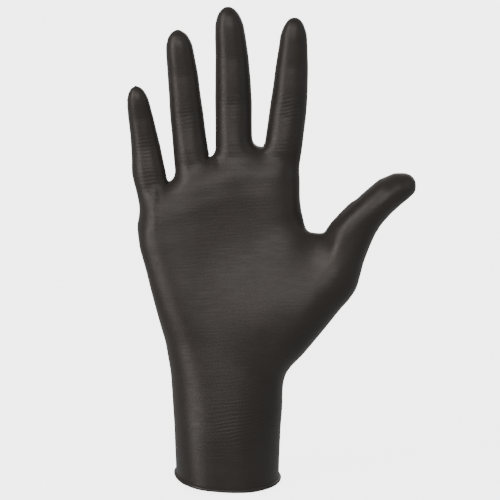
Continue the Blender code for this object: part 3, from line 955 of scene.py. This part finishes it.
def labels_of(points):
    """The name of the piece that holds each point."""
    names = np.full(len(points), "palm", object)
    owner = nearest_finger(points)
    wrist_top = WRIST.point[2] + WRIST.after
    for name in FINGERS:
        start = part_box(f"{name}_knuckle_crease")[0][2] - FINGER_START
        mine = (owner == name) & (points[:, 2] > start)
        for bend, part in zip(FINGER[name], ("knuckle", "middle", "tip")):
            names[mine & bend.starts(points)] = f"{name}_{part}"
    base, knuckle, tip = THUMB
    thumb_side = base.starts(points) & (points[:, 2] > wrist_top) & (names == "palm")
    names[thumb_side] = "thumb_base"
    beyond = thumb_side & (base.reach(points) > THUMB_CLEAR) & knuckle.starts(points)
    names[beyond] = "thumb_knuckle"
    names[beyond & tip.starts(points)] = "thumb_tip"
    names[(points[:, 2] < wrist_top) & (names == "palm")] = "wrist"
    names[points[:, 2] < WRIST.point[2] - WRIST.before] = "cuff"
    return names


PIECES = {  # each film piece, with the CAD zones it stands for
    "cuff": ("cuff_sleeve",),
    "wrist": ("wrist_palm_fold", "wrist_back_fold"),
    "palm": ("palm_shell",),
    "thumb_base": ("thumb_base_shell", "thumb_base_crease", "thumb_base_back"),
    "thumb_knuckle": (
        "thumb_root_stall",
        "thumb_knuckle_crease",
        "thumb_knuckle_back",
        "thumb_web_fold",
    ),
    "thumb_tip": ("thumb_tip_stall", "thumb_tip_crease", "thumb_tip_back"),
}
BENDS = {"wrist": WRIST}
BENDS.update(zip(("thumb_base", "thumb_knuckle", "thumb_tip"), THUMB))
for finger in FINGERS:
    parts = [f"{finger}_{part}" for part in ("knuckle", "middle", "tip")]
    root, middle, tip = parts
    PIECES[root] = (f"{finger}_root_stall", f"{root}_crease", f"{root}_back")
    PIECES[middle] = (f"{middle}_stall", f"{middle}_crease")
    PIECES[tip] = (f"{tip}_stall", f"{tip}_crease")
    BENDS.update(zip(parts, FINGER[finger]))


def make_pieces(points, faces, look):
    """The skin as film pieces with an outer and an inner face; cuff and palm are fixed to their
    bodies, the others get their transforms baked.
    """
    normals = normals_of(points, faces)
    names = labels_of(points[faces].mean(axis=1))
    for name, nodes in PIECES.items():
        used, local = np.unique(faces[names == name], return_inverse=True)
        local = local.reshape(-1, 4)
        outer, out = points[used], normals[used]
        corners = np.concatenate([local, local[:, ::-1] + len(used)])
        corners = [list(dict.fromkeys(face)) for face in corners.tolist()]
        both = np.concatenate([outer, outer - out * FILM])
        piece = mesh_object(f"film_{name}", both, corners, np.concatenate([out, -out]), look)
        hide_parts(*nodes)
        if name in BENDS:
            BENDS[name].apply(piece)
        else:
            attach(piece, name)


def rim_line(edge):
    """The film's lower edge from above, smoothed, and the way out from it."""
    turns = np.arctan2(edge[:, 1], edge[:, 0])
    order = np.argsort(turns)
    turns, edge = turns[order], edge[order]
    wanted = np.linspace(-math.pi, math.pi, BEAD_SIDES, endpoint=False)
    radius = np.hypot(edge[:, 0], edge[:, 1])
    radius = np.interp(wanted, turns, radius, period=2 * math.pi)
    spectrum = np.fft.rfft(radius)
    spectrum[BEAD_WAVES:] = 0
    radius = np.fft.irfft(spectrum, BEAD_SIDES)
    line = np.c_[radius * np.cos(wanted), radius * np.sin(wanted)]
    around = np.roll(line, -1, axis=0) - np.roll(line, 1, axis=0)
    out = np.c_[around[:, 1], -around[:, 0]]
    return line, out / np.linalg.norm(out, axis=1)[:, None], wanted


def make_bead(edge, plane, look):
    """The rolled rim: a rounded coil of film under the sleeve's edge, with the groove above it."""
    line, out, turns = rim_line(edge)
    swell = 1 + 0.05 * np.sin(5 * turns + 1.3) + 0.03 * np.sin(11 * turns)
    rings = []
    for turn in np.radians(range(*BEAD_TURN)):
        across = BEAD_OUT + BEAD_RADIUS * math.cos(turn)
        up = BEAD_RADIUS * math.sin(turn) - BEAD_DOWN
        flat = line + out * (across * swell)[:, None]
        rings.append(np.c_[flat, plane[0] + flat @ plane[1:] + up * swell])
    points = np.concatenate(rings)
    at = np.arange(len(points)).reshape(len(rings), BEAD_SIDES)
    beside = np.roll(at, -1, axis=1)
    faces = np.stack([at, beside, np.roll(beside, -1, axis=0), np.roll(at, -1, axis=0)], axis=-1)
    faces = faces.reshape(-1, 4)
    piece = mesh_object("rim_bead", points, faces.tolist(), normals_of(points, faces), look)
    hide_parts("cuff_bead")
    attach(piece, "cuff")


# ---------------------------------------------------------------- the studio


def make_floor():
    """A pale floor that curves up behind."""
    low = Vector(CAD_BOX[0])
    curve_start = FLOOR_BACK - FLOOR_CURVE
    outline = [(FLOOR_FRONT, 0.0), (curve_start, 0.0)]
    for k in range(1, 9):
        turn = math.radians(90 * k / 8)
        back, up = math.sin(turn), 1 - math.cos(turn)
        outline.append((curve_start + FLOOR_CURVE * back, FLOOR_CURVE * up))
    outline.append((FLOOR_BACK, FLOOR_TOP))
    points = [(x, y, z + low.z) for y, z in outline for x in (-FLOOR_SIDE, FLOOR_SIDE)]
    faces = [(2 * k, 2 * k + 1, 2 * k + 3, 2 * k + 2) for k in range(len(outline) - 1)]
    mesh = bpy.data.meshes.new("floor")
    mesh.from_pydata(points, [], faces)
    mesh.polygons.foreach_set("use_smooth", [True] * len(faces))
    look = Look("pale_floor")
    look.fill(look.surface, {"Base Color": FLOOR_GREY, "Roughness": 0.9, "Specular IOR Level": 0.0})
    look.fill(look.surface, {"Emission Color": (1, 1, 1, 1), "Emission Strength": FLOOR_GLOW})
    mesh.materials.append(look.material)
    floor = added(bpy.data.objects.new("floor", mesh))
    floor.visible_glossy = False
    floor.visible_diffuse = False


def aim(obj, place, target):
    obj.location = place
    obj.rotation_euler = (Vector(target) - Vector(place)).to_track_quat("-Z", "Y").to_euler()


def make_lights(target):
    """Soft lights all round, and an even sky."""
    world = bpy.data.worlds.new("studio")
    world.use_nodes = True
    sky = world.node_tree.nodes["Background"]
    sky.inputs["Color"].default_value = (1, 1, 1, 1)
    sky.inputs["Strength"].default_value = SKY
    bpy.context.scene.world = world
    for name, place, size, power, tint in LIGHTS:
        lamp = bpy.data.lights.new(name, "AREA")
        lamp.shape = "RECTANGLE"
        lamp.size, lamp.size_y = size
        lamp.energy = power
        lamp.color = tint
        aim(added(bpy.data.objects.new(name, lamp)), place, target)


def make_camera(middle):
    height = CAD_BOX[1][2] - CAD_BOX[0][2]
    camera = bpy.data.cameras.new("camera")
    camera.lens = 85
    camera.sensor_width = 36
    camera.dof.use_dof = False
    camera.angle = 2 * math.atan(0.5 * CAMERA_VIEW * height / CAMERA_DISTANCE)
    made = added(bpy.data.objects.new("camera", camera))
    target = middle + Vector(CAMERA_AIM)
    away = Vector((0, -math.cos(CAMERA_RISE), math.sin(CAMERA_RISE)))
    aim(made, target + away * CAMERA_DISTANCE, target)
    bpy.context.scene.camera = made


def main():
    middle = (Vector(CAD_BOX[0]) + Vector(CAD_BOX[1])) / 2
    make_camera(middle)
    make_floor()
    make_lights(middle)
    plane = rim_plane()
    plane[0] += RIM_RISE
    points, quads = make_skin()
    points, faces, edge = cut_at_rim(points, quads, plane)
    make_pieces(points, faces, nitrile("black_nitrile", FILM_TINT, FILM_ROUGHNESS))
    make_bead(edge, plane, nitrile("black_nitrile_roll", BEAD_TINT, BEAD_ROUGHNESS))


main()
